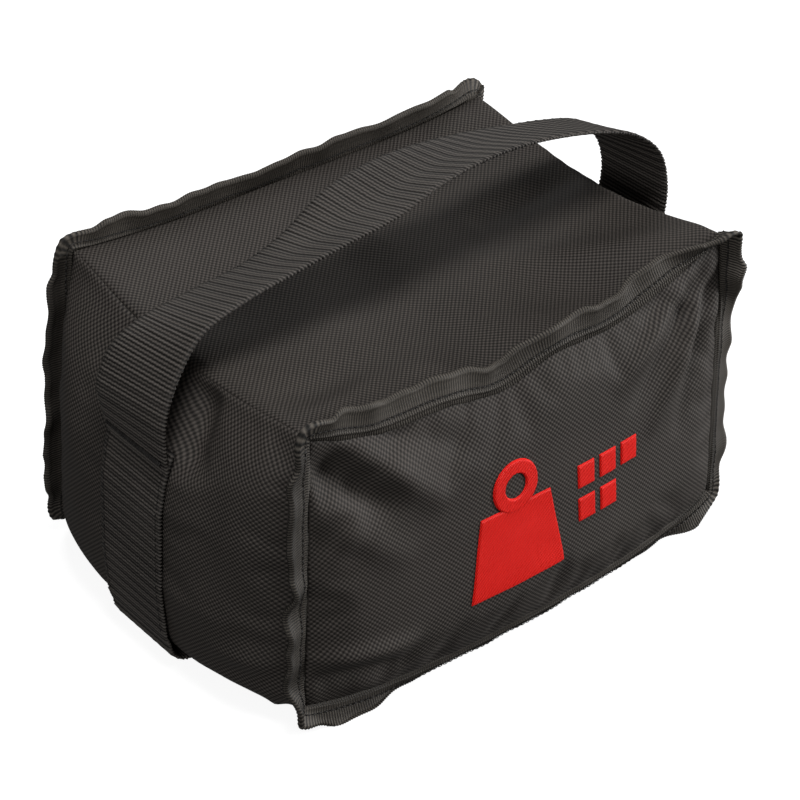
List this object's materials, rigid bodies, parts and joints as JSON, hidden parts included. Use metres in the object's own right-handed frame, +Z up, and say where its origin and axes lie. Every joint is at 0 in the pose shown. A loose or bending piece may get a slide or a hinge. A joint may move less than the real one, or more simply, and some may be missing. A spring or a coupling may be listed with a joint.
{
  "type": "sandbag",
  "caption": "Box-shaped fabric sandbag with bound front and back seams, a webbing strap round its middle that rises into a carrying handle, and a zip in the back panel.",
  "frame": {"origin": "on the floor under the middle of the bag", "axes": "+X along the bag's length towards its right end as seen from the front, +Y towards the back, with the front panel facing -Y, +Z up"},
  "size_m": [0.343, 0.2276, 0.2285],
  "materials": {
    "shell_fabric": "charcoal coated nylon, plain weave",
    "binding_tape": "black ribbed binding tape",
    "webbing": "black two-inch nylon webbing with a toothed edge",
    "stitching": "black thread",
    "embroidery": "red satin-stitch thread",
    "backing": "white non-woven stiffener",
    "zip_tape": "black woven zip tape",
    "zip_coil": "black nylon coil",
    "zip_metal": "black lacquered zinc",
    "liner": "plain woven inner bag",
    "touch_strip": "black touch-fastening strip",
    "sand": "dry washed sand"
  },
  "bodies": {
    "bag": {"front_panel": "shell_fabric", "back_panel": "shell_fabric", "top_panel": "shell_fabric", "bottom_panel": "shell_fabric", "left_end_panel": "shell_fabric", "right_end_panel": "shell_fabric", "front_binding_tape": "binding_tape", "back_binding_tape": "binding_tape", "front_binding_stitching": "stitching", "back_binding_stitching": "stitching", "sewn_strap": "webbing", "left_strap_stitching": "stitching", "right_strap_stitching": "stitching", "emblem_embroidery": "embroidery", "emblem_backing": "backing", "zipper_tape_upper": "zip_tape", "zipper_tape_lower": "zip_tape", "zipper_coil_upper": "zip_coil", "zipper_coil_lower": "zip_coil", "zipper_top_stop": "zip_metal", "zipper_bottom_stop": "zip_metal", "liner_bag": "liner", "liner_flap": "liner", "liner_hook_strip": "touch_strip", "liner_loop_strip": "touch_strip", "sand_fill": "sand"},
    "carrying_handle": {"handle": "webbing", "left_bar_tack": "stitching", "right_bar_tack": "stitching"},
    "slider": {"zipper_slider": "zip_metal"},
    "pull_tab": {"zipper_pull_tab": "zip_metal"}
  },
  "joints": [
    {"name": "handle_swing", "type": "hinge", "parent": "bag", "child": "carrying_handle", "pos_m": [0, 0, 0.14], "axis": [1, 0, 0], "range_deg": [-20, 20]},
    {"name": "zipper_slide", "type": "slide", "parent": "bag", "child": "slider", "axis": [1, 0, 0], "range_m": [-0.172, 0]},
    {"name": "pull_tab_swing", "type": "hinge", "parent": "slider", "child": "pull_tab", "pos_m": [0.087, 0.1138, 0.0985], "axis": [0, 0, -1], "range_deg": [0, 175]}
  ]
}
